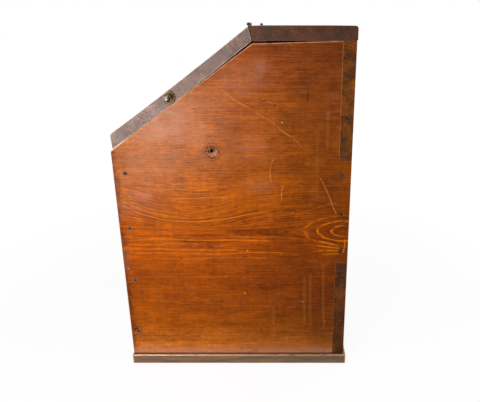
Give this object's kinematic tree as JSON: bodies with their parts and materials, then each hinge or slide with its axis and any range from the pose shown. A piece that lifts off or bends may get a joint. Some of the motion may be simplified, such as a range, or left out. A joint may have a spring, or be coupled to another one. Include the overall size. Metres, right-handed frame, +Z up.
{
  "type": "slant-lid box",
  "caption": "Upright wooden box on a projecting bottom board, with a fixed flat top at the back and a sloping lid that is hinged to it and lifted by a small knob on each edge.",
  "frame": {"origin": "middle of the bottom board's underside", "axes": "+X across the box to the side shown in the picture, +Y from the front to the back, +Z up"},
  "size_m": [0.5164, 0.386, 0.5859],
  "materials": {
    "pine": "old amber varnish, satin, scratched",
    "dark_pine": "dark stained and worn, satin",
    "brass": "aged, tarnished in the hollows",
    "iron": "dark, lightly rusted"
  },
  "bodies": {
    "case": {"side_panel_right": "pine", "side_panel_left": "pine", "front_panel": "pine", "back_panel": "pine", "bottom_board": "dark_pine", "top_board": "dark_pine", "top_rail": "pine", "front_nail_right_1": "iron", "front_nail_right_2": "iron", "front_nail_right_3": "iron", "front_nail_right_4": "iron", "front_nail_left_1": "iron", "front_nail_left_2": "iron", "front_nail_left_3": "iron", "front_nail_left_4": "iron", "tab_nail_right_1": "iron", "tab_nail_right_2": "iron", "tab_nail_right_3": "iron", "tab_nail_left_1": "iron", "tab_nail_left_2": "iron", "tab_nail_left_3": "iron", "top_nail_right": "iron", "top_nail_left": "iron", "top_nail_back_1": "iron", "top_nail_back_2": "iron", "top_nail_back_3": "iron", "base_nail_right_1": "iron", "base_nail_right_2": "iron", "base_nail_right_3": "iron", "base_nail_left_1": "iron", "base_nail_left_2": "iron", "base_nail_left_3": "iron", "base_nail_front_1": "iron", "base_nail_front_2": "iron", "base_nail_back_1": "iron", "base_nail_back_2": "iron", "hinge_top_leaf_right": "brass", "hinge_pin_right": "brass", "hinge_top_screw_right_1": "brass", "hinge_top_screw_right_2": "brass", "hinge_top_screw_right_3": "brass", "hinge_top_leaf_left": "brass", "hinge_pin_left": "brass", "hinge_top_screw_left_1": "brass", "hinge_top_screw_left_2": "brass", "hinge_top_screw_left_3": "brass"},
    "lid": {"lid_board": "dark_pine", "hinge_lid_leaf_right": "brass", "hinge_lid_screw_right_1": "brass", "hinge_lid_screw_right_2": "brass", "hinge_lid_screw_right_3": "brass", "hinge_lid_leaf_left": "brass", "hinge_lid_screw_left_1": "brass", "hinge_lid_screw_left_2": "brass", "hinge_lid_screw_left_3": "brass", "knob_rose_right": "brass", "knob_right": "brass", "knob_rose_left": "brass", "knob_left": "brass"}
  },
  "joints": [
    {"name": "lid_hinge", "type": "hinge", "parent": "case", "child": "lid", "pos_m": [0, 0.0298, 0.5836], "axis": [-1, 0, 0], "range_deg": [0, 217]}
  ]
}
